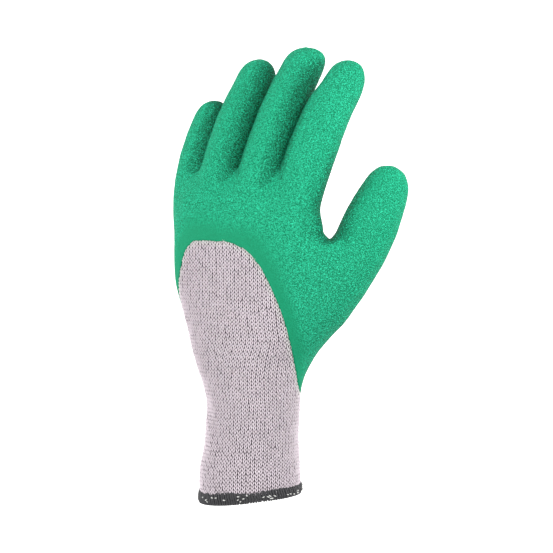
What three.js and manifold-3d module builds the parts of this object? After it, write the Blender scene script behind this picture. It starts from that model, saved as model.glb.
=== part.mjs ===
// A latex coated grip glove for the left hand, worn open and slightly curled: a seamless knitted
// liner with five stalls and a long cuff, a crinkled latex skin dipped over its palm, fingers and
// knuckles, and a dark overlocked binding round the mouth of the cuff.
// Millimetres. +Z runs from the cuff to the fingertips, +X to the thumb's side, +Y to the palm, and
// the origin is the centre of the cuff's mouth, where the hand goes in.
import * as THREE from "three";
import { mergeVertices } from "three/addons/utils/BufferGeometryUtils.js";
import Module from "manifold-3d";

// Walls
const LINER_WALL = 1.3;
const LATEX_WALL = 1.0;
const SKIN_GAP = 0.3; // the latex, and the binding's thread, lie this far off the knit

// The cuff, measured over the knit
const CUFF_LENGTH = 60; // mouth to wrist
const CUFF_WIDTH = 52.5;
const CUFF_DEPTH = 44;

// The hand, measured over the knit
const PALM_LENGTH = 104; // wrist to the forks of the fingers
const PALM_WIDTH = 80;
const PALM_DEPTH = 30;

// Fingers, from their roots inside the palm to their tips
const INDEX_LENGTH = 113;
const MIDDLE_LENGTH = 127;
const RING_LENGTH = 121;
const LITTLE_LENGTH = 94;
const FINGER_WIDTH = 22.2;
const FINGER_DEPTH = 20.4;
const THUMB_LENGTH = 128;
const THUMB_WIDTH = 29.2;
const THUMB_DEPTH = 24;

// The binding overlocked round the mouth
const BINDING_HEIGHT = 5.4;
const BINDING_WALL = 0.9;

// The mouth slants: its thumb side stands this much higher than the other
const MOUTH_SLANT = 6;
const SLANT_TOWARDS = 27; // degrees from the thumb's side towards the palm

// Facets
const BODY_SIDES = 32;
const DIGIT_SIDES = 12;
const DIGIT_RINGS = 8;
const TIP_RINGS = 3;

// The cuff and the hand in rings. up: share of the height to the forks, mouth 0 to forks 1.
// hand: how far the ring has gone from the cuff's size to the palm's. flare: its size as a share of
// that. thick: its depth, again as a share. across and palmward: its centre, as shares of the palm's
// width and depth. square: the power of its outline, 2 for an ellipse.
const BODY = [
  { up: 0.0, hand: 0.0, flare: 1.0, thick: 1.0, across: 0.0, palmward: 0.0, square: 2.0 },
  { up: 0.05, hand: 0.0, flare: 1.0, thick: 1.0, across: 0.0, palmward: 0.0, square: 2.0 },
  { up: 0.1, hand: 0.0, flare: 0.985, thick: 0.98, across: 0.0, palmward: 0.0, square: 2.0 },
  { up: 0.17, hand: 0.0, flare: 0.925, thick: 0.95, across: 0.01, palmward: 0.0, square: 2.0 },
  { up: 0.3, hand: 0.0, flare: 0.9, thick: 0.93, across: 0.02, palmward: 0.0, square: 2.0 },
  { up: 0.38, hand: 0.08, flare: 0.935, thick: 0.92, across: 0.005, palmward: 0.0, square: 2.0 },
  { up: 0.46, hand: 0.32, flare: 0.98, thick: 0.97, across: -0.015, palmward: 0.0, square: 2.05 },
  { up: 0.55, hand: 0.6, flare: 0.98, thick: 1.02, across: -0.03, palmward: 0.0, square: 2.1 },
  { up: 0.66, hand: 0.88, flare: 0.98, thick: 1.02, across: -0.045, palmward: 0.0, square: 2.15 },
  { up: 0.77, hand: 1.0, flare: 0.975, thick: 0.97, across: -0.045, palmward: 0.01, square: 2.2 },
  { up: 0.86, hand: 1.0, flare: 0.98, thick: 0.8, across: -0.045, palmward: 0.05, square: 2.15 },
  { up: 0.93, hand: 1.0, flare: 0.96, thick: 0.6, across: -0.05, palmward: 0.14, square: 2.1 },
  { up: 0.98, hand: 1.0, flare: 0.9, thick: 0.42, across: -0.055, palmward: 0.25, square: 2.0 },
  { up: 1.0, hand: 1.0, flare: 0.82, thick: 0.28, across: -0.055, palmward: 0.31, square: 2.0 },
];

// The digits. across, palmward and up place the root, as shares of the palm's width and depth and of
// the height to the forks. lean: degrees towards the thumb's side, curl: degrees towards the palm,
// each evenly spaced from the root to the tip. thick: its girth as a share of a finger's.
const INDEX = {
  length: INDEX_LENGTH,
  thick: 1.03,
  across: 0.27,
  palmward: 0.0,
  up: 0.74,
  lean: [3, 6, 10, 18],
  curl: [4, 22, 30, 36],
};
const MIDDLE = {
  length: MIDDLE_LENGTH,
  thick: 1.0,
  across: -0.01,
  palmward: -0.1,
  up: 0.74,
  lean: [3, 3, 4, 5],
  curl: [5, 26, 36, 42],
};
const RING = {
  length: RING_LENGTH,
  thick: 0.97,
  across: -0.27,
  palmward: -0.06,
  up: 0.74,
  lean: [-3, 0, 1, 2],
  curl: [6, 28, 36, 42],
};
const LITTLE = {
  length: LITTLE_LENGTH,
  thick: 0.88,
  across: -0.4,
  palmward: 0.06,
  up: 0.74,
  lean: [-19, -10, -2, 0],
  curl: [9, 27, 33, 38],
};
const THUMB = {
  across: 0.1,
  palmward: 0.05,
  up: 0.37,
  lean: [38, 38, 22, 14],
  curl: [5, 9, 15, 16],
  roll: -25,
};

// Girth along a finger and along the thumb, before the tip rounds off
const FINGER_GIRTH = [
  { along: 0.0, wide: 0.82, deep: 0.76 },
  { along: 0.25, wide: 1.0, deep: 1.0 },
  { along: 0.6, wide: 1.02, deep: 0.98 },
  { along: 0.82, wide: 0.99, deep: 0.92 },
  { along: 1.0, wide: 0.92, deep: 0.84 },
];
const THUMB_GIRTH = [
  { along: 0.0, wide: 0.75, deep: 0.9 },
  { along: 0.25, wide: 0.8, deep: 1.06 },
  { along: 0.5, wide: 0.99, deep: 1.08 },
  { along: 0.7, wide: 1.0, deep: 1.0 },
  { along: 0.88, wide: 0.98, deep: 0.94 },
  { along: 1.0, wide: 0.88, deep: 0.84 },
];
const TIP_SHARE = 0.52; // the length over which a tip rounds off, as a share of its girth

// The web between the hand and the thumb in level rings, each the taut outline round one circle in
// the hand and one in the thumb. up: share of the height to the forks. inHand and inThumb: the
// circles' radii, as shares of the palm's depth and the thumb's width. across: the hand's circle.
const WEB = [
  { up: 0.46, inHand: 0.42, inThumb: 0.36, across: 0.1 },
  { up: 0.55, inHand: 0.48, inThumb: 0.42, across: 0.14 },
  { up: 0.66, inHand: 0.48, inThumb: 0.43, across: 0.18 },
  { up: 0.74, inHand: 0.45, inThumb: 0.41, across: 0.21 },
  { up: 0.785, inHand: 0.41, inThumb: 0.36, across: 0.23 },
  { up: 0.805, inHand: 0.32, inThumb: 0.26, across: 0.25 },
  { up: 0.815, inHand: 0.18, inThumb: 0.12, across: 0.27 },
];

// The dip line, where the latex ends, as a share of the height to the forks. around: degrees round a
// ring from the thumb's side, turning towards the palm.
const DIP_LINE = [
  { around: 20, up: 0.38 },
  { around: 60, up: 0.37 },
  { around: 110, up: 0.42 },
  { around: 160, up: 0.56 },
  { around: 205, up: 0.71 },
  { around: 237, up: 0.795 },
  { around: 262, up: 0.806 },
  { around: 285, up: 0.765 },
  { around: 305, up: 0.66 },
  { around: 322, up: 0.57 },
  { around: 343, up: 0.446 },
];

// The mouth's unevenness, as a share of the binding's height
const MOUTH_WAVE = [
  { around: 0, lift: 0.1 },
  { around: 60, lift: 0.05 },
  { around: 120, lift: -0.1 },
  { around: 180, lift: 0.1 },
  { around: 225, lift: 0.0 },
  { around: 270, lift: -0.1 },
  { around: 315, lift: 0.05 },
];
const WAVE_FADE = 0.2; // share of the height to the forks over which slant and wave fade out

const FORK_HEIGHT = CUFF_LENGTH + PALM_LENGTH;
const BINDING_TOP = BINDING_HEIGHT / FORK_HEIGHT;
const THROUGH = 10; // how far a cutting solid runs past what it cuts
const OUTSIDE = 60; // and how far it runs to clear the thumb
const CROWN = 3; // the fall of the crown between the fingers
const TIP_FLAT = 0.3; // share of a tip ring left flat at the very end
const WELD = 1e-4; // points closer than this are one point
const FULL_TURN = 360; // degrees
const LINE_STEPS = 12; // straight steps that a digit's curved line is worked out in

const wasm = await Module();
wasm.setup();

// Catmull-Rom through a table's rows: the column's value where the table's first column is at.
function read(rows, column, at) {
  const key = Object.keys(rows[0])[0];
  let i = rows.findIndex((row) => row[key] > at) - 1;
  if (i === -2) i = at < rows[0][key] ? 0 : rows.length - 2;
  i = THREE.MathUtils.clamp(i, 0, rows.length - 2);
  const row = (j) => rows[THREE.MathUtils.clamp(j, 0, rows.length - 1)];
  const [a, b, c, d] = [row(i - 1), row(i), row(i + 1), row(i + 2)];
  const span = c[key] - b[key];
  const t = THREE.MathUtils.clamp((at - b[key]) / span, 0, 1);
  const slopeIn = c === a ? 0 : ((c[column] - a[column]) / (c[key] - a[key])) * span;
  const slopeOut = d === b ? 0 : ((d[column] - b[column]) / (d[key] - b[key])) * span;
  const t2 = t * t;
  const t3 = t2 * t;
  return (
    (2 * t3 - 3 * t2 + 1) * b[column] +
    (t3 - 2 * t2 + t) * slopeIn +
    (3 * t2 - 2 * t3) * c[column] +
    (t3 - t2) * slopeOut
  );
}

// The same round a full turn, for tables whose first column is an angle in degrees.
function readRound(rows, column, degrees) {
  const key = Object.keys(rows[0])[0];
  const at = ((degrees % FULL_TURN) + FULL_TURN) % FULL_TURN;
  const before = rows.map((row) => ({ ...row, [key]: row[key] - FULL_TURN }));
  const after = rows.map((row) => ({ ...row, [key]: row[key] + FULL_TURN }));
  return read([...before, ...rows, ...after], column, at);
}

// A closed skin over rings of points, all turning the same way, with a fan over each end.
function loft(rings) {
  const sides = rings[0].length;
  const points = rings.flat();
  const middle = (ring) => ring.reduce((sum, p) => sum.add(p), new THREE.Vector3()).divideScalar(sides);
  points.push(middle(rings[0]), middle(rings.at(-1)));
  const index = [];
  const first = points.length - 2;
  const last = points.length - 1;
  const top = (rings.length - 1) * sides;
  for (let k = 0; k < sides; k++) {
    const next = (k + 1) % sides;
    for (let r = 0; r < rings.length - 1; r++) {
      const low = r * sides;
      const high = low + sides;
      index.push(low + k, low + next, high + next, low + k, high + next, high + k);
    }
    index.push(first, next, k, last, top + k, top + next);
  }
  const geometry = new THREE.BufferGeometry().setFromPoints(points);
  geometry.setIndex(index);
  return geometry;
}

function toSolid(geometry) {
  const merged = mergeVertices(geometry, WELD);
  return new wasm.Manifold(
    new wasm.Mesh({
      numProp: 3,
      vertProperties: merged.attributes.position.array,
      triVerts: new Uint32Array(merged.index.array),
    }),
  );
}

function toMesh(name, solid, material) {
  const { vertProperties, triVerts } = solid.getMesh();
  const geometry = new THREE.BufferGeometry();
  geometry.setAttribute("position", new THREE.BufferAttribute(vertProperties, 3));
  geometry.setIndex(new THREE.BufferAttribute(triVerts, 1));
  geometry.computeVertexNormals();
  const mesh = new THREE.Mesh(geometry, material);
  mesh.name = name;
  return mesh;
}

// How far the mouth's slant and wave lift a point at an angle, fading out up the cuff.
function mouthLift(degrees, up) {
  const slant = (MOUTH_SLANT / 2) * Math.cos(THREE.MathUtils.degToRad(degrees - SLANT_TOWARDS));
  const wave = readRound(MOUTH_WAVE, "lift", degrees) * BINDING_HEIGHT;
  return (slant + wave) * Math.max(0, 1 - up / WAVE_FADE);
}

// One ring of the cuff and hand at a share of the height, grown outwards by grow.
function bodyRing(up, grow, stretch = 0) {
  const at = typeof up === "function" ? up : () => up;
  return Array.from({ length: BODY_SIDES }, (_, k) => {
    const degrees = (k / BODY_SIDES) * FULL_TURN;
    const share = at(degrees);
    const hand = read(BODY, "hand", share);
    const flare = read(BODY, "flare", share);
    const thick = read(BODY, "thick", share);
    const halfWidth = (flare * THREE.MathUtils.lerp(CUFF_WIDTH, PALM_WIDTH, hand)) / 2 + grow;
    const halfDepth = (thick * THREE.MathUtils.lerp(CUFF_DEPTH, PALM_DEPTH, hand)) / 2 + grow;
    const power = 2 / read(BODY, "square", share);
    const [c, s] = [Math.cos, Math.sin].map((f) => f(THREE.MathUtils.degToRad(degrees)));
    return new THREE.Vector3(
      read(BODY, "across", share) * PALM_WIDTH + halfWidth * Math.sign(c) * Math.abs(c) ** power,
      read(BODY, "palmward", share) * PALM_DEPTH + halfDepth * Math.sign(s) * Math.abs(s) ** power,
      share * FORK_HEIGHT + mouthLift(degrees, share) + stretch,
    );
  });
}

// The cuff and hand without the digits, closed by a low crown between the fingers.
function body(grow) {
  const heights = [...BODY.map((row) => row.up), BINDING_TOP].sort((a, b) => a - b);
  const rings = heights.map((up) => bodyRing(up, grow));
  rings.push(bodyRing(1, grow - CROWN, CROWN + grow));
  return rings;
}

// The point a digit's root starts from.
function rootOf(spec) {
  return new THREE.Vector3(spec.across * PALM_WIDTH, spec.palmward * PALM_DEPTH, spec.up * FORK_HEIGHT);
}

// A table of angles, evenly spaced from root to tip, read at a share of the length.
function angleAt(angles, share) {
  const place = THREE.MathUtils.clamp(share, 0, 1) * (angles.length - 1);
  const low = Math.min(Math.floor(place), angles.length - 2);
  return THREE.MathUtils.degToRad(THREE.MathUtils.lerp(angles[low], angles[low + 1], place - low));
}

function heading(spec, share) {
  const lean = angleAt(spec.lean, share);
  const curl = angleAt(spec.curl, share);
  return new THREE.Vector3(Math.sin(lean) * Math.cos(curl), Math.sin(curl), Math.cos(lean) * Math.cos(curl));
}

// The point on a digit's line at a length from its root.
function pointOn(spec, length, at) {
  const centre = rootOf(spec);
  for (let i = 0; i < LINE_STEPS; i++) {
    centre.addScaledVector(heading(spec, (at * (i + 0.5)) / LINE_STEPS / length), at / LINE_STEPS);
  }
  return centre;
}

// A digit: rings along a line that turns from its root's direction to its tip's, rounded at the end.
function digit(spec, girth, length, width, depth, grow) {
  const tip = TIP_SHARE * width;
  const straight = length - tip;
  const rings = [];
  const addRing = (at, share, round) => {
    const halfWidth = ((read(girth, "wide", share) * width) / 2 + grow) * round;
    const halfDepth = ((read(girth, "deep", share) * depth) / 2 + grow) * round;
    rings.push(digitRing(spec, pointOn(spec, length, at), at / length, halfWidth, halfDepth));
  };
  for (let r = 0; r < DIGIT_RINGS; r++) {
    const share = r / (DIGIT_RINGS - 1);
    addRing(straight * share, share, 1);
  }
  for (let r = 1; r <= TIP_RINGS; r++) {
    const turn = ((r / (TIP_RINGS + TIP_FLAT)) * Math.PI) / 2;
    addRing(straight + (tip + grow) * Math.sin(turn), 1, Math.cos(turn));
  }
  return rings;
}

function digitRing(spec, centre, share, halfWidth, halfDepth) {
  const along = heading(spec, share);
  const roll = THREE.MathUtils.degToRad(spec.roll ?? 0);
  const wide = new THREE.Vector3(1, 0, 0).addScaledVector(along, -along.x).normalize();
  wide.applyAxisAngle(along, roll);
  const deep = new THREE.Vector3().crossVectors(along, wide);
  return Array.from({ length: DIGIT_SIDES }, (_, k) => {
    const angle = (k / DIGIT_SIDES) * 2 * Math.PI;
    const point = centre.clone().addScaledVector(wide, halfWidth * Math.cos(angle));
    return point.addScaledVector(deep, halfDepth * Math.sin(angle));
  });
}

// A level ring drawn tight round two circles.
function tautRing(a, radiusA, b, radiusB) {
  return Array.from({ length: BODY_SIDES }, (_, k) => {
    const angle = (k / BODY_SIDES) * 2 * Math.PI;
    const out = new THREE.Vector3(Math.cos(angle), Math.sin(angle), 0);
    const useA = a.dot(out) + radiusA > b.dot(out) + radiusB;
    return (useA ? a : b).clone().addScaledVector(out, useA ? radiusA : radiusB);
  });
}

// The web: level rings, each from a circle inside the hand to one on the thumb's own line.
function web(grow) {
  return WEB.map((row, i) => {
    const end = i === WEB.length - 1 ? grow : 0;
    const height = row.up * FORK_HEIGHT;
    const inHand = new THREE.Vector3(row.across * PALM_WIDTH, 0, height + end);
    const inThumb = thumbAtHeight(height).setZ(height + end);
    return tautRing(inHand, row.inHand * PALM_DEPTH + grow, inThumb, row.inThumb * THUMB_WIDTH + grow);
  });
}

// Where the thumb's line passes a height.
function thumbAtHeight(height) {
  let [low, high] = [0, THUMB_LENGTH];
  for (let i = 0; i < LINE_STEPS; i++) {
    const middle = (low + high) / 2;
    if (pointOn(THUMB, THUMB_LENGTH, middle).z < height) low = middle;
    else high = middle;
  }
  return pointOn(THUMB, THUMB_LENGTH, low);
}

// The whole hand form, grown outwards by grow. Below the mouth it runs on by past.
function handForm(grow, past = 0) {
  const rings = body(grow);
  if (past > 0) rings.unshift(bodyRing(0, grow, -past));
  let form = toSolid(loft(rings));
  for (const spec of [INDEX, MIDDLE, RING, LITTLE]) {
    const width = FINGER_WIDTH * spec.thick;
    const depth = FINGER_DEPTH * spec.thick;
    form = form.add(toSolid(loft(digit(spec, FINGER_GIRTH, spec.length, width, depth, grow))));
  }
  form = form.add(toSolid(loft(digit(THUMB, THUMB_GIRTH, THUMB_LENGTH, THUMB_WIDTH, THUMB_DEPTH, grow))));
  return form.add(toSolid(loft(web(grow))));
}

// All that lies below the dip line: rings on the line, from the hand's middle to well outside it.
function undipped() {
  const line = (degrees) => readRound(DIP_LINE, "up", degrees);
  const rings = [bodyRing(() => 0, OUTSIDE, -THROUGH)];
  for (const grow of [OUTSIDE, THROUGH, 0, -THROUGH / 2, -THROUGH]) rings.push(bodyRing(line, grow));
  return toSolid(loft(rings));
}

function knitLiner() {
  const edge = BINDING_WALL + SKIN_GAP;
  const below = [bodyRing(0, THROUGH, -THROUGH), bodyRing(0, THROUGH, edge), bodyRing(0, -THROUGH, edge)];
  return handForm(0).subtract(handForm(-LINER_WALL, THROUGH)).subtract(toSolid(loft(below)));
}

function latexCoating() {
  return handForm(SKIN_GAP + LATEX_WALL).subtract(handForm(SKIN_GAP)).subtract(undipped());
}

// A plug that fills the mouth up to the binding's top, its foot following the mouth's slant.
function mouthPlug(grow, foot, past) {
  const rings = [bodyRing(0, -THROUGH, foot), bodyRing(0, grow, foot), bodyRing(BINDING_TOP, grow)];
  if (past > 0) rings.push(bodyRing(BINDING_TOP, grow, past));
  rings.push(bodyRing(BINDING_TOP, -THROUGH, past));
  return toSolid(loft(rings));
}

// The binding wraps the knit's raw edge: outside, underneath and inside.
function cuffBinding() {
  const over = SKIN_GAP + BINDING_WALL;
  const slot = mouthPlug(SKIN_GAP, BINDING_WALL, THROUGH).subtract(
    mouthPlug(-LINER_WALL - SKIN_GAP, BINDING_WALL - THROUGH, 2 * THROUGH),
  );
  const mouth = mouthPlug(-LINER_WALL - over, -THROUGH, THROUGH);
  return mouthPlug(over, 0, 0).subtract(mouth).subtract(slot);
}

const knit = new THREE.MeshStandardMaterial({ color: 0xcfc3cb, roughness: 0.95, metalness: 0 });
const latex = new THREE.MeshStandardMaterial({ color: 0x1fae7c, roughness: 0.6, metalness: 0 });
const thread = new THREE.MeshStandardMaterial({ color: 0x4a4b4d, roughness: 0.9, metalness: 0 });

const glove = new THREE.Group();
glove.add(toMesh("knit_liner", knitLiner(), knit));
glove.add(toMesh("latex_coating", latexCoating(), latex));
glove.add(toMesh("cuff_binding", cuffBinding(), thread));

export default glove;
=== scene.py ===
import math
import random

import bpy
import numpy as np
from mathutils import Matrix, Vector, noise
from mathutils.bvhtree import BVHTree
from mathutils.kdtree import KDTree


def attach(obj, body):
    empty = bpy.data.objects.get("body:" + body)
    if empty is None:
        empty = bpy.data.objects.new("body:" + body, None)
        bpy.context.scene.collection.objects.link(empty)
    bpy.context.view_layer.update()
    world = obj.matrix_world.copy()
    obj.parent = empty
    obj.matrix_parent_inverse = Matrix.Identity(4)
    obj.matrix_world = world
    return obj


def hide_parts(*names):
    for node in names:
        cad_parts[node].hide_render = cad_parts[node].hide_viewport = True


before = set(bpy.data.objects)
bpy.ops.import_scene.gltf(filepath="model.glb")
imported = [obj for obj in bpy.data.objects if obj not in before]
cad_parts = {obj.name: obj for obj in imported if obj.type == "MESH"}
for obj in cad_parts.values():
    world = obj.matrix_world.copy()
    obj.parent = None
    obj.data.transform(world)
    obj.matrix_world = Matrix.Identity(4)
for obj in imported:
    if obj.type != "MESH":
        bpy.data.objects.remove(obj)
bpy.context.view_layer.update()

# Knitted liner. The real one is a seamless cotton and polyester tube with five stalls, knitted in one
# on a glove machine and drawn in at the long cuff by an elastic yarn. Its bare knit shows on the back
# of the hand and the cuff, and inside the mouth.
LINER_WALL = 0.0013
WALE = 0.00212  # across one column of stitches
COURSE = 0.00186  # up one row
UNEVEN = 0.035  # of a stitch, how far each loop strays from its place
MOUTH_SLANT = 0.003  # the thumb's side of the mouth stands this much above the middle
SLANT_FADE = 0.033  # and the rows are level again this far up
CUFF_TOP = 0.060
CUFF_GIRTH = 0.150  # the elastic yarn draws the columns of this much knitting into the cuff
GATHER = 0.018  # they spread over this far below and above the cuff's top
KNIT_TOP = 0.142  # above the highest point where the back is bare
FACING = math.radians(290)  # the middle of the back of the hand, round from the thumb's side
FORM_VOXEL = 0.0013  # the size of face for which the numbers of smoothing rounds are given
ROUNDS_ALL, ROUNDS_PALM = 10, 90
COLLAR = 0.012  # run on below the mouth, so that smoothing doesn't draw the mouth in


def pick(*pieces):
    bpy.ops.object.select_all(action="DESELECT")
    for piece in pieces:
        piece.select_set(True)
    bpy.context.view_layer.objects.active = pieces[0]


def copy_piece(source, name):
    piece = bpy.data.objects.new(name, source.data.copy())
    bpy.context.collection.objects.link(piece)
    pick(piece)
    return piece


def places(piece):
    flat = np.empty(len(piece.data.vertices) * 3)
    piece.data.vertices.foreach_get("co", flat)
    return flat.reshape(-1, 3)


def set_places(piece, co):
    piece.data.vertices.foreach_set("co", np.ascontiguousarray(co).ravel())
    piece.data.update()


def outwards(piece):
    flat = np.empty(len(piece.data.vertices) * 3)
    piece.data.vertex_normals.foreach_get("vector", flat)
    return flat.reshape(-1, 3)


def select_faces(piece, wanted):
    """Selects the faces whose centre and normal the test takes, and leaves edit mode on."""
    bpy.ops.object.mode_set(mode="EDIT")
    bpy.ops.mesh.select_mode(type="FACE")
    bpy.ops.mesh.select_all(action="DESELECT")
    bpy.ops.object.mode_set(mode="OBJECT")
    for face in piece.data.polygons:
        face.select = wanted(face.center, face.normal)
    bpy.ops.object.mode_set(mode="EDIT")


def add_modifier(piece, kind, **settings):
    pick(piece)
    modifier = piece.modifiers.new(kind.title(), kind)
    for key, value in settings.items():
        setattr(modifier, key, value)
    bpy.ops.object.modifier_apply(modifier=modifier.name)


def weights(piece, name, values):
    """A vertex group with one weight for each vertex, set in a few steps of weight."""
    group = piece.vertex_groups.new(name=name)
    steps = np.clip(np.round(np.asarray(values) * 20), 0, 20).astype(int)
    for step in range(1, 21):
        group.add([int(i) for i in np.where(steps == step)[0]], step / 20, "REPLACE")
    return group.name


def smoothstep(low, high, x):
    t = np.clip((np.asarray(x, dtype=float) - low) / (high - low), 0, 1)
    return t * t * (3 - 2 * t)


BACK_TURN = math.radians(27)  # how far the back of the hand is turned from the X axis
BACK_RIGHT = np.array([math.cos(BACK_TURN), math.sin(BACK_TURN), 0])
BACK_OUT = np.array([math.sin(BACK_TURN), -math.cos(BACK_TURN), 0])
# Where stretched cloth and wet latex sit fuller or tighter than the plain solid, seen square to the
# back of the hand: across and up in metres, how far the change reaches, how far it moves to the
# right and up, and the side of a finger that it moves (1 right, -1 left, 0 both).
FULLNESS = [
    (0.0362, 0.2290, 0.0065, 0.0021, 0.0005, 0),  # tip of the middle finger
    (0.0345, 0.2120, 0.008, -0.0006, 0.0, 1),
    (0.0170, 0.2220, 0.008, 0.0004, 0.0, -1),
    (0.0575, 0.2201, 0.009, 0.0004, 0.0014, 0),  # tip of the index finger
    (0.0380, 0.2150, 0.009, 0.0017, 0.0, -1),
    (0.0530, 0.1940, 0.012, -0.0003, 0.0, 1),
    (0.0010, 0.2215, 0.009, 0.0, 0.0006, 0),  # tip of the ring finger
    (0.0120, 0.2190, 0.006, -0.0007, 0.0, 1),
    (-0.0231, 0.2011, 0.012, -0.0003, 0.0014, 0),  # tip of the little finger
    (-0.0328, 0.1883, 0.014, -0.0008, 0.0004, 0),
    (-0.0385, 0.1640, 0.016, -0.0010, 0.0, -1),  # little finger's edge of the hand
    (-0.0360, 0.1080, 0.018, -0.0007, 0.0, -1),
    (-0.0260, 0.0680, 0.012, -0.0015, 0.0, -1),  # wrist
    (0.0255, 0.0470, 0.010, 0.0007, 0.0, 1),
    (-0.0256, 0.0130, 0.008, -0.0005, 0.0, -1),
    (0.0785, 0.1446, 0.016, 0.0008, 0.0, 0),  # back of the thumb
    (0.0693, 0.1241, 0.016, 0.0010, -0.0003, 0),
    (0.0715, 0.1710, 0.010, 0.0, -0.0010, 0),  # tip of the thumb
    (0.0590, 0.1650, 0.009, 0.0012, 0.0, -1),
    (0.0287, 0.0641, 0.009, 0.0018, -0.0010, 0),  # heel of the thumb, where the latex starts
    (0.0350, 0.1390, 0.006, 0.0030, 0.0, 0),  # web, which is drawn to a narrow fork
    (0.0400, 0.1339, 0.005, 0.0, -0.0030, 0),
]
# Soft folds in the knit on the back: from across and up, to across and up, half width and depth.
FOLDS = [
    (-0.0225, 0.0500, -0.0150, 0.0250, 0.0022, 0.0005),
    (-0.0190, 0.0140, -0.0070, 0.0300, 0.0018, 0.0004),
    (-0.0270, 0.1010, -0.0215, 0.0760, 0.0025, -0.0004),
    (0.0040, 0.0460, 0.0100, 0.0120, 0.0030, 0.0003),
]


def hand_form(name, voxel):
    """The liner's outer skin, rebuilt in even faces and smoothed as stretched cloth is."""
    form = copy_piece(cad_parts["knit_liner"], name)
    bpy.ops.object.mode_set(mode="EDIT")
    bpy.ops.mesh.select_all(action="SELECT")
    bpy.ops.mesh.remove_doubles(threshold=1e-6)
    bpy.ops.object.mode_set(mode="OBJECT")
    select_faces(form, lambda centre, normal: centre.z < 0.007 and normal.z < -0.7)
    bpy.ops.mesh.delete(type="FACE")
    bpy.ops.mesh.select_all(action="SELECT")
    bpy.ops.mesh.separate(type="LOOSE")
    bpy.ops.object.mode_set(mode="OBJECT")
    shells = sorted(bpy.context.selected_objects, key=lambda shell: shell.dimensions.x)
    form = shells.pop()
    for shell in shells:
        bpy.data.objects.remove(shell)
    form.name = name
    pick(form)
    bpy.ops.object.mode_set(mode="EDIT")
    bpy.ops.mesh.select_mode(type="EDGE")
    bpy.ops.mesh.select_all(action="DESELECT")
    bpy.ops.mesh.select_non_manifold()
    bpy.ops.mesh.extrude_region_move(TRANSFORM_OT_translate={"value": (0, 0, -COLLAR)})
    bpy.ops.mesh.edge_face_add()
    bpy.ops.object.mode_set(mode="OBJECT")
    add_modifier(form, "REMESH", mode="VOXEL", voxel_size=voxel)
    co = places(form)
    finer = (FORM_VOXEL / voxel) ** 2
    add_modifier(form, "SMOOTH", factor=0.5, iterations=round(ROUNDS_ALL * finer))
    palm = smoothstep(0.178, 0.150, co[:, 2]) * smoothstep(0.050, 0.040, co[:, 0])
    soft = weights(form, "knuckles and back", palm * smoothstep(0.05, 0.07, co[:, 2]))
    add_modifier(form, "SMOOTH", factor=0.5, iterations=round(ROUNDS_PALM * finer), vertex_group=soft)
    co = places(form)
    out = outwards(form)
    sideways = out @ BACK_RIGHT
    co = co + out * (0.0003 + 0.0003 * smoothstep(0.09, 0.13, co[:, 2]))[:, None]
    across = co @ BACK_RIGHT
    for place, height, reach, right_by, up_by, side in FULLNESS:
        near = np.exp(-((across - place) ** 2 + (co[:, 2] - height) ** 2) / reach**2)
        near = near * (smoothstep(-0.3, 0.8, side * sideways) if side else 1)
        co = co + near[:, None] * (right_by * BACK_RIGHT + np.array([0, 0, up_by]))
    set_places(form, co)
    out = outwards(form)
    back = smoothstep(0.0, 0.4, out @ BACK_OUT)
    place = np.stack([co @ BACK_RIGHT, co[:, 2]], 1)
    for x0, z0, x1, z1, width, depth in FOLDS:
        start, along = np.array([x0, z0]), np.array([x1 - x0, z1 - z0])
        share = np.clip((place - start) @ along / (along @ along), 0, 1)
        off = np.linalg.norm(place - start - share[:, None] * along, axis=1)
        co = co - out * (depth * back * np.exp(-((off / width) ** 2)))[:, None]
    set_places(form, co)
    return form


def slant(angle, height):
    """How far the mouth's slant lifts a row of knitting at an angle round the cuff."""
    return MOUTH_SLANT * np.cos(angle - BACK_TURN) * np.clip(1 - height / SLANT_FADE, 0, 1)


def face_tree(form):
    """The form's faces, ready to be met by rays."""
    mesh = form.data
    corners = [list(face.vertices) for face in mesh.polygons]
    return BVHTree.FromPolygons([v.co for v in mesh.vertices], corners)


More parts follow.
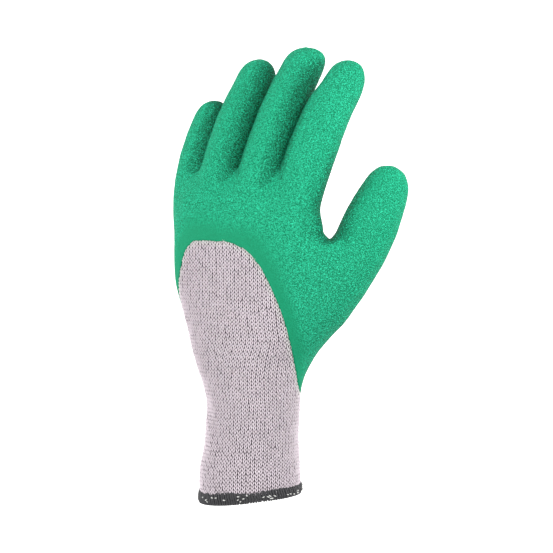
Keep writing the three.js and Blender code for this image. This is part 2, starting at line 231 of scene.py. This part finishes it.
class Skin:
    """The form's surface as the knitter counts it: columns round it and rows up it."""

    def __init__(self, form, rows, turns=360):
        tree = face_tree(form)
        co = places(form)
        self.heights = rows
        self.point = np.zeros((len(rows), turns + 1, 3))
        self.normal = np.zeros((len(rows), turns + 1, 3))
        self.run = np.zeros((len(rows), turns + 1))
        self.angle = FACING - math.pi + np.arange(turns + 1) / turns * 2 * math.pi
        for r, height in enumerate(rows):
            near = co[np.abs(co[:, 2] - height) < 0.004]
            near = near[near[:, 0] < 0.042]  # without the thumb
            middle = (near.min(0) + near.max(0)) / 2
            for a, angle in enumerate(self.angle):
                lift = float(slant(angle, height))
                start = Vector((middle[0], middle[1], height + lift))
                ray = Vector((math.cos(angle), math.sin(angle), 0))
                hit, normal, _, _ = tree.ray_cast(start, ray)
                if hit is None:
                    hit, normal, _, _ = tree.find_nearest(start + ray * 0.03)
                self.point[r, a] = hit
                self.normal[r, a] = normal
            steps = np.linalg.norm(np.diff(self.point[r], axis=0), axis=1)
            along = np.concatenate([[0], np.cumsum(steps)])
            self.run[r] = along - along[turns // 2]

    def girth(self, row):
        return self.run[row, -1] - self.run[row, 0]

    def place(self, across, row, out):
        """Points at a run across each row from the middle of the back, pushed out by a distance."""
        low = np.clip(np.floor(row).astype(int), 0, len(self.heights) - 2)
        share = np.clip(row - low, 0, 1)[:, None]
        ends = []
        for r in (low, low + 1):
            point = np.empty((len(row), 3))
            normal = np.empty((len(row), 3))
            for k in np.unique(r):
                at = r == k
                start = self.run[k, 0]
                wrapped = start + (across[at] - start) % self.girth(k)
                for axis in range(3):
                    point[at, axis] = np.interp(wrapped, self.run[k], self.point[k, :, axis])
                    normal[at, axis] = np.interp(wrapped, self.run[k], self.normal[k, :, axis])
            ends.append((point, normal))
        point = ends[0][0] * (1 - share) + ends[1][0] * share
        normal = ends[0][1] * (1 - share) + ends[1][1] * share
        normal /= np.linalg.norm(normal, axis=1)[:, None]
        return point + normal * out[:, None]


def loop_leg():
    """One leg of a knitted loop, as tube rings: across in columns, up and out in rows, and radius."""
    shape = [
        (0.08, -0.64, -0.12, 0.12),
        (0.15, -0.26, 0.08, 0.16),
        (0.30, 0.20, 0.04, 0.175),
        (0.38, 0.60, -0.15, 0.125),
    ]
    bpy.ops.object.select_all(action="DESELECT")
    bpy.ops.mesh.primitive_circle_add(vertices=5, radius=1, fill_type="NGON")
    leg = bpy.context.object
    leg.name = "loop_leg"
    bpy.ops.object.mode_set(mode="EDIT")
    bpy.ops.mesh.select_all(action="SELECT")
    for _ in shape[1:]:
        bpy.ops.mesh.extrude_region_move(TRANSFORM_OT_translate={"value": (0, 0, 1)})
    bpy.ops.mesh.select_all(action="SELECT")
    bpy.ops.mesh.normals_make_consistent(inside=False)
    bpy.ops.object.mode_set(mode="OBJECT")
    co = places(leg)
    ring = np.round(co[:, 2]).astype(int)
    across, up, out, thick = np.array(shape)[ring].T
    lean = 0.35  # the rings lean up the leg
    shaped = [across + co[:, 0] * thick, up + co[:, 1] * thick * lean, out + co[:, 1] * thick]
    faces = [list(face.vertices) for face in leg.data.polygons]
    bpy.data.objects.remove(leg)
    return np.stack(shaped, 1), faces


def mark(piece, name, values):
    """A value for each point of a piece, which its material reads."""
    attribute = piece.data.attributes.new(name, "FLOAT", "POINT")
    attribute.data.foreach_set("value", np.asarray(values, dtype=np.float32))


def joined(name, co, faces):
    mesh = bpy.data.meshes.new(name)
    mesh.from_pydata([], [], [])
    piece = bpy.data.objects.new(name, mesh)
    bpy.context.collection.objects.link(piece)
    mesh.from_pydata(co.tolist(), [], faces)
    mesh.update()
    return piece


def knitted(name, skin, first_row, last_row, covered):
    """Every loop of one stretch of knitting, laid on the skin where the latex doesn't cover it."""
    leg, leg_faces = loop_leg()
    legs = [(leg, leg_faces), (leg * [-1, 1, 1], [face[::-1] for face in leg_faces])]
    # Painted light: a leg is painted palest on its crown, as a highlight, and painted darker where it
    # dips behind the next loop and towards the groove between two columns, as shade.
    crest_light = smoothstep(-0.15, 0.25, leg[:, 2]) * (1 - 0.75 * smoothstep(0.34, 0.5, leg[:, 0]))
    cuff_columns = round(CUFF_GIRTH / WALE)
    rng = np.random.default_rng(7)
    co, faces, count = [], [], 0
    for row in range(first_row, last_row):
        girth = skin.girth(row)
        free = float(smoothstep(CUFF_TOP - GATHER, CUFF_TOP + GATHER, skin.heights[row]))
        wide = girth / cuff_columns * (1 - free) + WALE * free
        whole = round(girth / wide)
        slack = girth - whole * wide  # taken up at the palm, where the row closes
        columns = np.arange(whole) - whole // 2
        middles = skin.place(columns * wide, np.full(whole, row, float), np.zeros(whole))
        seen = [c for c, p in zip(columns, middles) if not covered(p)]
        for column in seen:
            wander = rng.normal(0, UNEVEN, 3)
            for shape, shape_faces in legs:
                across = (column + shape[:, 0] + wander[0]) * wide
                across = across + 4 * slack * (across / girth) ** 3
                up = row + shape[:, 1] + wander[1]
                out = (shape[:, 2] + wander[2]) * COURSE
                co.append(np.stack([across, up, out], 1))
                faces += [[v + count for v in face] for face in shape_faces]
                count += len(shape)
    flat = np.concatenate(co)
    piece = joined(name, skin.place(flat[:, 0], flat[:, 1], flat[:, 2]), faces)
    mark(piece, "crest_light", np.tile(crest_light, len(co)))
    return piece


form = hand_form("hand_form", FORM_VOXEL)
HAND_MIDDLE = -0.003  # the middle of the palm, across
DIP_STEPS = 240  # places round the hand where the latex's edge is measured


def round_hand(co):
    """The angle round the hand of each point, seen from the middle of the palm."""
    return np.arctan2(co[:, 1], co[:, 0] - HAND_MIDDLE) % (2 * math.pi)


def measure_dip_line(node):
    """The height of the solid's lowest edge at even steps of angle round the hand."""
    co = places(node)
    ends = np.empty(len(node.data.edges) * 2, dtype=int)
    node.data.edges.foreach_get("vertices", ends)
    ends = ends.reshape(-1, 2)
    turn = round_hand(co)
    heights = np.full(DIP_STEPS, 1.0)
    for k in range(DIP_STEPS):
        off = (turn - 2 * math.pi * k / DIP_STEPS + math.pi) % (2 * math.pi) - math.pi
        a, b = off[ends[:, 0]], off[ends[:, 1]]
        cross = (a * b <= 0) & (np.abs(a - b) < 0.5) & (np.abs(a - b) > 1e-9)
        share = a[cross] / (a[cross] - b[cross])
        z = co[ends[cross, 0], 2] * (1 - share) + co[ends[cross, 1], 2] * share
        heights[k] = z.min()
    for _ in range(3):
        heights = (np.roll(heights, 1) + 2 * heights + np.roll(heights, -1)) / 4
    return heights


EDGE_WAVER = 0.0003  # how unevenly the edge drained
# How far the wet edge ran off the solid's edge: degrees round the hand, and metres up.
DIP_TRIM = np.array([
    (150, 0), (160, -0.0030), (170, -0.0072), (180, -0.0110), (188, -0.0130), (194, -0.0128),
    (197.5, -0.0062), (200, 0.0008), (205, 0.0022), (210, 0.0005), (215, -0.0005), (220, -0.0009),
    (235, -0.0012), (250, -0.0003), (260, -0.0004), (300, 0), (310, 0.0010), (315, 0.0005),
    (320, 0.0018), (325, 0.0024), (330, 0.0013), (345, 0.0009), (350, -0.0008), (355, -0.0033),
    (360, -0.0062), (365, -0.0084), (370, -0.0088), (380, -0.0076), (390, -0.0045), (410, 0),
])
dip_heights = measure_dip_line(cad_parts["latex_coating"])
dip_degrees = (np.arange(DIP_STEPS) / DIP_STEPS * 360 - 160) % 360 + 160
dip_heights += np.interp(dip_degrees, DIP_TRIM[:, 0], DIP_TRIM[:, 1])
dip_angles = np.arange(DIP_STEPS + 1) / DIP_STEPS * 2 * math.pi


def dip_line(co):
    """How high the latex's edge runs at each point's angle round the hand."""
    return np.interp(round_hand(co), dip_angles, np.append(dip_heights, dip_heights[0]))


def edge_curve(form):
    """The latex's edge as close points all round the form, with the small waver of a drained edge."""
    tree = face_tree(form)
    curve = KDTree(DIP_STEPS * 6)
    for k in range(DIP_STEPS * 6):
        turn = 2 * math.pi * k / DIP_STEPS / 6
        ray = Vector((math.cos(turn), math.sin(turn), 0))
        height = float(dip_line(np.array([ray + Vector((HAND_MIDDLE, 0, 0))]))[0])
        height += EDGE_WAVER * noise.noise(ray * 9)
        curve.insert(tree.ray_cast(Vector((HAND_MIDDLE, 0, height)), ray)[0], k)
    curve.balance()
    return curve


def from_edge(co):
    """How far each point is from the latex's edge."""
    return np.array([dip_edge.find(p)[2] for p in co])


dip_edge = edge_curve(form)
row_heights = np.arange(0.0, KNIT_TOP, COURSE)
skin = Skin(form, row_heights)
TUCK = 0.0018  # the loops run on this far behind the latex's edge


def under_latex(point):
    return point[2] > dip_line(point[None, :])[0] + TUCK


def colour(code):
    """An sRGB hex colour as linear RGBA."""
    parts = [int(code[i : i + 2], 16) / 255 for i in (1, 3, 5)]
    return [p / 12.92 if p <= 0.04045 else ((p + 0.055) / 1.055) ** 2.4 for p in parts] + [1]


def add_node(material, kind, links=(), **settings):
    """Adds a node, sets its properties and sockets, and links its inputs from other nodes."""
    node = material.node_tree.nodes.new(kind)
    for key, value in settings.items():
        if hasattr(node, key):
            setattr(node, key, value)
        else:
            node.inputs[key.replace("_", " ")].default_value = value
    for socket, source in dict(links).items():
        material.node_tree.links.new(source, node.inputs[socket])
    return node


def new_material(name, piece_colour, roughness, **sockets):
    material = bpy.data.materials.new(name)
    material.use_nodes = True
    shader = material.node_tree.nodes["Principled BSDF"]
    shader.inputs["Base Color"].default_value = colour(piece_colour)
    shader.inputs["Roughness"].default_value = roughness
    for key, value in sockets.items():
        shader.inputs[key.replace("_", " ")].default_value = value
    return material, shader


def cotton_yarn():
    # Spun cotton and polyester yarn, dull and hairy: soft edges to each loop, slight changes of
    # tone from one stretch of yarn to the next, painted highlight on each loop's crown and painted shade
    # where it dips, and a paler line along the latex's edge.
    material, shader = new_material(
        "spun cotton yarn", "#d3c8d0", 0.9, Specular_IOR_Level=0.2, Sheen_Weight=0.05, Sheen_Roughness=0.5
    )
    place = add_node(material, "ShaderNodeTexCoord").outputs["Object"]
    shade = add_node(material, "ShaderNodeTexNoise", {"Vector": place}, Scale=160.0, Detail=2.0)
    crest_light = add_node(material, "ShaderNodeAttribute", attribute_name="crest_light").outputs["Fac"]
    height = add_node(material, "ShaderNodeMath", {0: crest_light, 1: shade.outputs["Fac"]}, operation="ADD")
    # Painted highlight on the crowns and painted shade in the dips, with random tone from the noise.
    tint = add_node(material, "ShaderNodeValToRGB", {"Fac": height.outputs["Value"]})
    tint.color_ramp.elements[0].position = 0.35
    tint.color_ramp.elements[0].color = colour("#7c7278")
    tint.color_ramp.elements[1].color = colour("#d5cad1")
    paleness = add_node(material, "ShaderNodeAttribute", attribute_name="paleness").outputs["Fac"]
    pale = add_node(material, "ShaderNodeMix", {"Factor": paleness}, data_type="RGBA")
    material.node_tree.links.new(tint.outputs["Color"], pale.inputs[6])
    pale.inputs[7].default_value = colour("#d9dcd6")
    material.node_tree.links.new(pale.outputs[2], shader.inputs["Base Color"])
    fibres = add_node(
        material, "ShaderNodeTexNoise", {"Vector": place}, Scale=4000.0, Detail=2.0
    ).outputs["Fac"]
    bump = add_node(material, "ShaderNodeBump", {"Height": fibres}, Strength=0.4, Distance=0.0001)
    material.node_tree.links.new(bump.outputs["Normal"], shader.inputs["Normal"])
    return material


yarn = cotton_yarn()
rows_in_cuff = round(CUFF_TOP / COURSE)
cuff_knit = knitted("cuff_knit", skin, 2, rows_in_cuff, under_latex)
back_knit = knitted("back_of_hand_knit", skin, rows_in_cuff, len(row_heights) - 1, under_latex)
for piece in (cuff_knit, back_knit):
    pick(piece)
    bpy.ops.object.shade_smooth()
    piece.data.materials.append(yarn)
    # A paler line along the latex's edge.
    mark(piece, "paleness", 0.5 * smoothstep(0.0035, 0.0005, from_edge(places(piece))))
    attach(piece, "root")
    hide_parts("knit_liner")

# The body of the liner behind the loops: the knit seen edge on between them, and its purl side
# inside the glove.
LINER_VOXEL = 0.0015
BEHIND_LOOPS = 0.0007
FIRST_ROW = 0.0015  # the knit's cut edge stands this far above the mouth, inside its binding


def below_first_row(centre, normal):
    return centre.z < float(slant(math.atan2(centre.y, centre.x), 0)) + FIRST_ROW


liner = hand_form("liner_body", LINER_VOXEL)
select_faces(liner, below_first_row)
bpy.ops.mesh.delete(type="FACE")
bpy.ops.object.mode_set(mode="OBJECT")
set_places(liner, places(liner) - outwards(liner) * BEHIND_LOOPS)
add_modifier(liner, "SOLIDIFY", thickness=LINER_WALL, offset=-1)
bpy.ops.object.shade_smooth()


def purl_knit():
    # The same yarn between and behind the loops, painted darker as the shade it lies in, with rows
    # of purl bumps, one to a course, that show inside the mouth.
    material, shader = new_material("purl side of the knit in painted shade", "#5a4f56", 0.95, Specular_IOR_Level=0.15)
    place = add_node(material, "ShaderNodeTexCoord").outputs["Object"]
    rows = add_node(
        material, "ShaderNodeTexWave", {"Vector": place},
        bands_direction="Z", Scale=1 / COURSE / 3.14, Distortion=1.0, Detail=1.0,
    ).outputs["Fac"]
    bump = add_node(material, "ShaderNodeBump", {"Height": rows}, Strength=0.8, Distance=0.0004)
    material.node_tree.links.new(bump.outputs["Normal"], shader.inputs["Normal"])
    return material


liner.data.materials.clear()
liner.data.materials.append(purl_knit())
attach(liner, "root")
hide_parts("knit_liner")

# Latex coating. The knitted glove is pulled on a hand former and dipped in green natural latex with
# the back of the hand held clear, so the skin ends in a curved line. While it is still wet its face
# is crinkled with solvent, for grip.
LATEX_EDGE = 0.00055  # how far the skin's edge stands off the knit
LATEX_BODY = 0.00110  # and how far it stands away from the edge
EDGE_TAPER = 0.010
LATEX_WALL = 0.0006
LATEX_VOXEL = 0.00118
CREASE_REACH = 0.032  # skin that faces another finger nearer than this is in a crease
CREASE_FROM = 0.11  # the hand's creases all lie above this
CREASE_RAYS = 14


def closed_in(piece, form):
    """For each point, the share of the directions it faces that another part of the hand closes."""
    tree = face_tree(form)
    turns = [(math.sqrt((k + 0.5) / CREASE_RAYS), 2.4 * k) for k in range(CREASE_RAYS)]
    rays = [Vector((r * math.cos(a), r * math.sin(a), math.sqrt(1 - r * r))) for r, a in turns]
    shares = np.zeros(len(piece.data.vertices))
    for i, vertex in enumerate(piece.data.vertices):
        if vertex.co.z < CREASE_FROM:
            continue
        turn = vertex.normal.to_track_quat("Z", "Y").to_matrix()
        start = vertex.co + vertex.normal * 0.0012  # clear of its own skin
        hits = 0
        for ray in rays:
            distance = tree.ray_cast(start, turn @ ray, CREASE_REACH)[3]
            if distance is not None:
                hits += 1 - distance / CREASE_REACH
        shares[i] = hits / len(rays)
    return shares


latex = hand_form("latex_skin", LATEX_VOXEL)
select_faces(latex, lambda centre, normal: centre.z < float(dip_line(np.array([centre]))[0]))
bpy.ops.mesh.delete(type="FACE")
bpy.ops.mesh.select_mode(type="EDGE")
bpy.ops.mesh.select_all(action="DESELECT")
bpy.ops.mesh.select_non_manifold()
bpy.ops.object.mode_set(mode="OBJECT")
edge = np.array([v.select for v in latex.data.vertices])
co = places(latex)
co[edge] = [dip_edge.find(p)[0] for p in co[edge]]
above = from_edge(co)
body = smoothstep(0, EDGE_TAPER, above)
out = outwards(latex)
crinkle = np.array([noise.fractal(Vector(p) * 260, 1.0, 2.0, 3) for p in co])
broad = np.array([noise.noise(Vector(p) * 60) for p in co])
smooth_band = 0.010 + 0.008 * smoothstep(0.10, 0.13, co[:, 2])
rough = 0.12 + 0.88 * smoothstep(0.2, 1, (above + 0.003 * broad) / smooth_band)
rough *= 1 - 0.2 * smoothstep(0.046, 0.062, co[:, 0])  # finer over the thumb, which is stretched
swell = LATEX_EDGE + (LATEX_BODY - LATEX_EDGE) * body + (0.00008 * crinkle + 0.00018 * broad) * rough
set_places(latex, co + out * swell[:, None])
mark(latex, "grain", rough)
# The crease share deepens the crinkle there and darkens the colour as painted shade.
mark(latex, "crease", closed_in(latex, form))
add_modifier(latex, "SOLIDIFY", thickness=LATEX_WALL, offset=-1)
bpy.ops.object.shade_smooth()


def crinkled_latex():
    # Natural latex, dipped and crinkled while wet: a dull rubber skin broken into small folds
    # and pits about a millimetre apart, smoother along its edge and deeper in creases. Its colour carries
    # painted shade, darker in the pits and in the creases between fingers, and a painted highlight on the
    # folds' ridges.
    material, shader = new_material("crinkled natural latex", "#1fae7b", 0.7, Specular_IOR_Level=0.15)
    place = add_node(material, "ShaderNodeTexCoord").outputs["Object"]
    grain = add_node(material, "ShaderNodeAttribute", attribute_name="grain").outputs["Fac"]
    warp = add_node(material, "ShaderNodeTexNoise", {"Vector": place}, Scale=420.0, Detail=1.0)
    shift = add_node(
        material, "ShaderNodeVectorMath", {0: warp.outputs["Color"]}, operation="SCALE", Scale=0.0007
    )
    moved = add_node(
        material, "ShaderNodeVectorMath", {0: place, 1: shift.outputs["Vector"]}, operation="ADD"
    )
    folds = add_node(
        material, "ShaderNodeTexNoise", {"Vector": moved.outputs["Vector"]},
        Scale=1700.0, Detail=1.5, Roughness=0.5,
    )
    pits = add_node(
        material, "ShaderNodeMapRange", {"Value": folds.outputs["Fac"]}, From_Min=0.36, From_Max=0.64
    ).outputs["Result"]
    shut = add_node(material, "ShaderNodeAttribute", attribute_name="crease").outputs["Fac"]
    crease_depth_and_shade = add_node(
        material, "ShaderNodeMapRange", {"Value": shut}, From_Min=0.0, From_Max=0.09
    ).outputs["Result"]
    more = add_node(material, "ShaderNodeMath", {0: crease_depth_and_shade, 1: grain}, operation="ADD").outputs["Value"]
    depth = add_node(material, "ShaderNodeMath", {0: pits, 1: more}, operation="MULTIPLY")
    bump = add_node(
        material, "ShaderNodeBump", {"Height": depth.outputs["Value"]}, Strength=1.0, Distance=0.00045
    )
    material.node_tree.links.new(bump.outputs["Normal"], shader.inputs["Normal"])
    # Painted shade in the pits and painted highlight on the ridges of the folds.
    tint = add_node(material, "ShaderNodeValToRGB", {"Fac": pits})
    tint.color_ramp.elements[0].color = colour("#027a54")
    tint.color_ramp.elements[1].color = colour("#2ac798")
    plain = add_node(material, "ShaderNodeMix", {"Factor": grain}, data_type="RGBA")
    material.node_tree.links.new(tint.outputs["Color"], plain.inputs[7])
    plain.inputs[6].default_value = colour("#06845c")
    # Painted shade: the colour is multiplied darker in the creases between fingers.
    painted_crease_shade = add_node(
        material, "ShaderNodeMix", {"Factor": crease_depth_and_shade}, data_type="RGBA", blend_type="MULTIPLY"
    )
    shade = add_node(material, "ShaderNodeValToRGB", {"Fac": pits})
    shade.color_ramp.elements[0].color = colour("#98bbb3")
    shade.color_ramp.elements[1].color = colour("#ffffff")
    material.node_tree.links.new(shade.outputs["Color"], painted_crease_shade.inputs[7])
    material.node_tree.links.new(plain.outputs[2], painted_crease_shade.inputs[6])
    material.node_tree.links.new(painted_crease_shade.outputs[2], shader.inputs["Base Color"])
    return material


latex.data.materials.clear()
latex.data.materials.append(crinkled_latex())
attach(latex, "root")
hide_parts("latex_coating")
bpy.data.objects.remove(form)

# Cuff binding. The knit's cut edge is overlocked with dark grey polyester thread: close slanting
# stitches wrap the edge, and loose ends of the pale knitting yarn stick out between them.
BINDING_HEIGHT = 0.0052
STITCH_PITCH = 0.00135
STITCH_LEAN = 0.0011
THREAD = 0.00052  # half the thickness of a stitch's bundle of thread
YARN_END = 0.00028  # half the thickness of a loose end
YARN_ENDS = 64
RIPPLE = 0.0006
RIPPLE_LONG = 0.028
RIPPLE_FROM = 0.004  # only what lies higher than this above the mouth ripples


def wrapped_thread(paths, sides=5, radius=THREAD):
    """Round threads along paths of points, closed at both ends."""
    co, faces = [], []
    for path in paths:
        path = np.asarray(path)
        ahead = np.gradient(path, axis=0)
        ahead /= np.linalg.norm(ahead, axis=1)[:, None]
        side = np.cross(ahead, [0.2, 0.3, 0.93])
        side /= np.linalg.norm(side, axis=1)[:, None]
        up = np.cross(ahead, side)
        start = len(co)
        for k in range(len(path)):
            for s in range(sides):
                turn = 2 * math.pi * s / sides
                co.append(path[k] + radius * (math.cos(turn) * side[k] + math.sin(turn) * up[k]))
        for k in range(len(path) - 1):
            for s in range(sides):
                a, b = start + k * sides + s, start + k * sides + (s + 1) % sides
                faces.append([a, b, b + sides, a + sides])
        faces.append([start + s for s in range(sides)][::-1])
        faces.append([start + (len(path) - 1) * sides + s for s in range(sides)])
    return np.array(co), [list(reversed(f)) for f in faces]


def on_edge(skin, across, height, out):
    """A point of the cuff by its run round it, its height over the mouth and its distance out."""
    across, height, out = (np.atleast_1d(np.asarray(v, dtype=float)) for v in (across, height, out))
    point = skin.place(across, np.maximum(height, 0) / COURSE, out)
    point[:, 2] += np.minimum(height, 0)
    return point


def ripple(across):
    """How far the overlocked edge ripples up at the middle of the cuff's back."""
    wave = math.cos(2 * math.pi * (across + 0.009) / RIPPLE_LONG)
    return RIPPLE * wave * math.exp(-((across / 0.03) ** 2))


# One stitch goes down the outside, round the cut edge and up the inside: across, up and out.
STITCH = [
    (-STITCH_LEAN, BINDING_HEIGHT, 0.0004),
    (-STITCH_LEAN * 0.5, BINDING_HEIGHT * 0.6, 0.00085),
    (0, 0.0012, 0.00095),
    (0.0001, -0.0001, 0.0004),
    (0.0002, -0.0003, -0.0008),
    (0.0002, 0.0009, -0.0021),
    (STITCH_LEAN * 0.5, BINDING_HEIGHT * 0.6, -0.0022),
    (STITCH_LEAN, BINDING_HEIGHT, -0.0018),
]
girth = skin.girth(0)
rng = random.Random(3)
stitches = round(girth / STITCH_PITCH)
paths = []
for k in range(stitches):
    across = -girth / 2 + (k + 0.5) / stitches * girth
    jitter = rng.uniform(-0.00025, 0.00025)
    tall = rng.uniform(-0.0004, 0.0004) + ripple(across)
    path = []
    for sideways, height, out_by in STITCH:
        height += tall if height > RIPPLE_FROM else 0
        path.append(on_edge(skin, across + sideways + jitter, height, out_by)[0])
    paths.append(path)
co, faces = wrapped_thread(paths)
overlock = joined("overlock_stitches", co, faces)

# The ground that the stitches lie on, in the same way round: up and out.
band_rows = [
    (BINDING_HEIGHT - 0.0003, 0.0002),
    (BINDING_HEIGHT * 0.5, 0.0006),
    (0.0009, 0.0006),
    (0.0, 0.0),
    (0.0, -0.0013),
    (0.0009, -0.0019),
    (BINDING_HEIGHT * 0.5, -0.0019),
    (BINDING_HEIGHT - 0.0003, -0.0015),
]
around = 120
ring_co, ring_faces = [], []
for k in range(around):
    across = -girth / 2 + k / around * girth
    for height, out_by in band_rows:
        height += ripple(across) if height > RIPPLE_FROM else 0
        ring_co.append(on_edge(skin, across, height, out_by)[0])
size = len(band_rows)
for k in range(around):
    n = (k + 1) % around
    for r in range(size):
        m = (r + 1) % size
        ring_faces.append([k * size + r, n * size + r, n * size + m, k * size + m])
band = joined("overlock_ground", np.array(ring_co), ring_faces)
pick(band)
bpy.ops.object.mode_set(mode="EDIT")
bpy.ops.mesh.select_all(action="SELECT")
bpy.ops.mesh.normals_make_consistent(inside=False)
bpy.ops.object.mode_set(mode="OBJECT")
bpy.ops.object.shade_smooth()

# Each loose end comes out between two stitches and goes back in, and two of three lie low down.
END_HEIGHTS = [(0.0010, 0.0024), (0.0010, 0.0024), (0.0015, 0.0045)]
END_BEND = [(-0.5, 0.0009), (-0.15, 0.00155), (0.2, 0.00155), (0.5, 0.0010)]
paths = []
for k in range(YARN_ENDS):
    across = rng.uniform(-girth / 2, girth / 2)
    height = rng.choice([rng.uniform(low, high) for low, high in END_HEIGHTS])
    long = rng.uniform(0.0005, 0.0013)
    slope = rng.uniform(-0.9, 0.9)
    path = []
    for share, out_by in END_BEND:
        path.append(on_edge(skin, across + share * long, height + share * long * slope, out_by)[0])
    paths.append(path)
co, faces = wrapped_thread(paths, sides=4, radius=YARN_END)
ends = joined("yarn_ends", co, faces)
mark(ends, "crest_light", np.ones(len(co)))
mark(ends, "paleness", np.full(len(co), 0.8))


def polyester_thread():
    # Textured polyester overlock thread: soft, dull and nearly black, with a little sheen where
    # its filaments catch the light.
    material, shader = new_material(
        "textured polyester thread", "#303032", 0.8, Specular_IOR_Level=0.3, Sheen_Weight=0.2
    )
    place = add_node(material, "ShaderNodeTexCoord").outputs["Object"]
    shade = add_node(material, "ShaderNodeTexNoise", {"Vector": place}, Scale=900.0, Detail=2.0)
    tint = add_node(material, "ShaderNodeValToRGB", {"Fac": shade.outputs["Fac"]})
    tint.color_ramp.elements[0].color = colour("#2a2a2c")
    tint.color_ramp.elements[1].color = colour("#454548")
    material.node_tree.links.new(tint.outputs["Color"], shader.inputs["Base Color"])
    return material


thread = polyester_thread()
for piece in (overlock, band):
    piece.data.materials.append(thread)
ends.data.materials.append(yarn)
for piece in (overlock, band, ends):
    pick(piece)
    bpy.ops.object.shade_smooth()
    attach(piece, "root")
    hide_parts("cuff_binding")

# The studio: a white sweep of paper under and behind the glove, which is held up clear of it, with
# one tall softbox at the left, a small one near the thumb and a weak one beside the camera.
FRAME = 553  # pixels across the picture, and down it
PIXEL = 0.000513  # metres to a pixel at the glove
MOUTH_RIGHT, MOUTH_DOWN = 250, 497  # the pixel where the middle of the mouth shows
AZIMUTH, ELEVATION = BACK_TURN, math.radians(2)
DISTANCE = 1.0
SENSOR = 36  # millimetres
towards = Vector((
    -math.sin(AZIMUTH) * math.cos(ELEVATION),
    math.cos(AZIMUTH) * math.cos(ELEVATION),
    -math.sin(ELEVATION),
))
right = Vector((math.cos(AZIMUTH), math.sin(AZIMUTH), 0))
up = right.cross(towards)
aim = Vector((0, 0, (MOUTH_DOWN - FRAME / 2) * PIXEL)) + right * (FRAME / 2 - MOUTH_RIGHT) * PIXEL

bpy.ops.object.camera_add(location=aim - towards * DISTANCE)
camera = bpy.context.object
camera.rotation_euler = towards.to_track_quat("-Z", "Y").to_euler()
camera.data.sensor_width = SENSOR
camera.data.lens = SENSOR * DISTANCE / (FRAME * PIXEL)
bpy.context.scene.camera = camera

# The paper lies flat below the glove, is rolled up at its far edge in eight steps, and runs on up.
SWEEP_WIDE, SWEEP_DEEP = 6, 5.2
SWEEP_BACK = -0.4
SWEEP_DROP = -0.16
ROLL_STEPS, ROLL_STEP = 8, 0.12
bpy.ops.mesh.primitive_plane_add(size=1, location=(0, 0, 0))
sweep = bpy.context.object
sweep.name = "paper_sweep"
bpy.ops.object.mode_set(mode="EDIT")
bpy.ops.mesh.select_all(action="SELECT")
bpy.ops.transform.resize(value=(SWEEP_WIDE, SWEEP_DEEP, 1))
bpy.ops.transform.translate(value=(0, SWEEP_BACK, SWEEP_DROP))
bpy.ops.mesh.select_mode(type="EDGE")
bpy.ops.mesh.select_all(action="DESELECT")
bpy.ops.object.mode_set(mode="OBJECT")
for side in sweep.data.edges:
    side.select = all(sweep.data.vertices[v].co.y > SWEEP_DEEP * 0.4 for v in side.vertices)
bpy.ops.object.mode_set(mode="EDIT")
for k in range(ROLL_STEPS):
    turn = math.radians(90 * (k + 0.5) / ROLL_STEPS)
    move = (0, ROLL_STEP * math.cos(turn), ROLL_STEP * math.sin(turn))
    bpy.ops.mesh.extrude_region_move(TRANSFORM_OT_translate={"value": move})
bpy.ops.mesh.extrude_region_move(TRANSFORM_OT_translate={"value": (0, 0, 1.2)})
bpy.ops.object.mode_set(mode="OBJECT")
sweep.rotation_euler = (0, 0, AZIMUTH)
bpy.ops.object.transform_apply(rotation=True)
bpy.ops.object.shade_smooth()
paper, paper_shader = new_material(
    "white studio paper", "#f6f6f6", 0.95, Specular_IOR_Level=0.1, Emission_Strength=1.0
)
paper_shader.inputs["Emission Color"].default_value = (1, 1, 1, 1)
sweep.data.materials.append(paper)
sweep.visible_diffuse = False


def softbox(name, turn, lift, distance, wide, tall, power):
    """A softbox facing the glove: degrees round to the camera's right and up, metres and watts."""
    turn, lift = math.radians(turn), math.radians(lift)
    offset = (-towards * math.cos(turn) + right * math.sin(turn)) * math.cos(lift) + up * math.sin(lift)
    bpy.ops.object.light_add(type="AREA", location=aim + offset * distance)
    lamp = bpy.context.object
    lamp.name = name
    lamp.data.shape = "RECTANGLE"
    lamp.data.size, lamp.data.size_y = wide, tall
    lamp.data.energy = power
    lamp.rotation_euler = (-offset).to_track_quat("-Z", "Y").to_euler()


softbox("left_softbox", -74, 0, 1.3, 0.9, 1.5, 22)
softbox("right_softbox", 60, 28, 0.5, 0.42, 0.42, 2.8)
softbox("front_softbox", 6, 6, 1.3, 0.9, 0.9, 4)
world = bpy.context.scene.world or bpy.data.worlds.new("studio")
bpy.context.scene.world = world
world.use_nodes = True
room = world.node_tree.nodes["Background"]
room.inputs["Color"].default_value = (1, 1, 1, 1)
room.inputs["Strength"].default_value = 0.65
bpy.context.scene.view_settings.view_transform = "Standard"
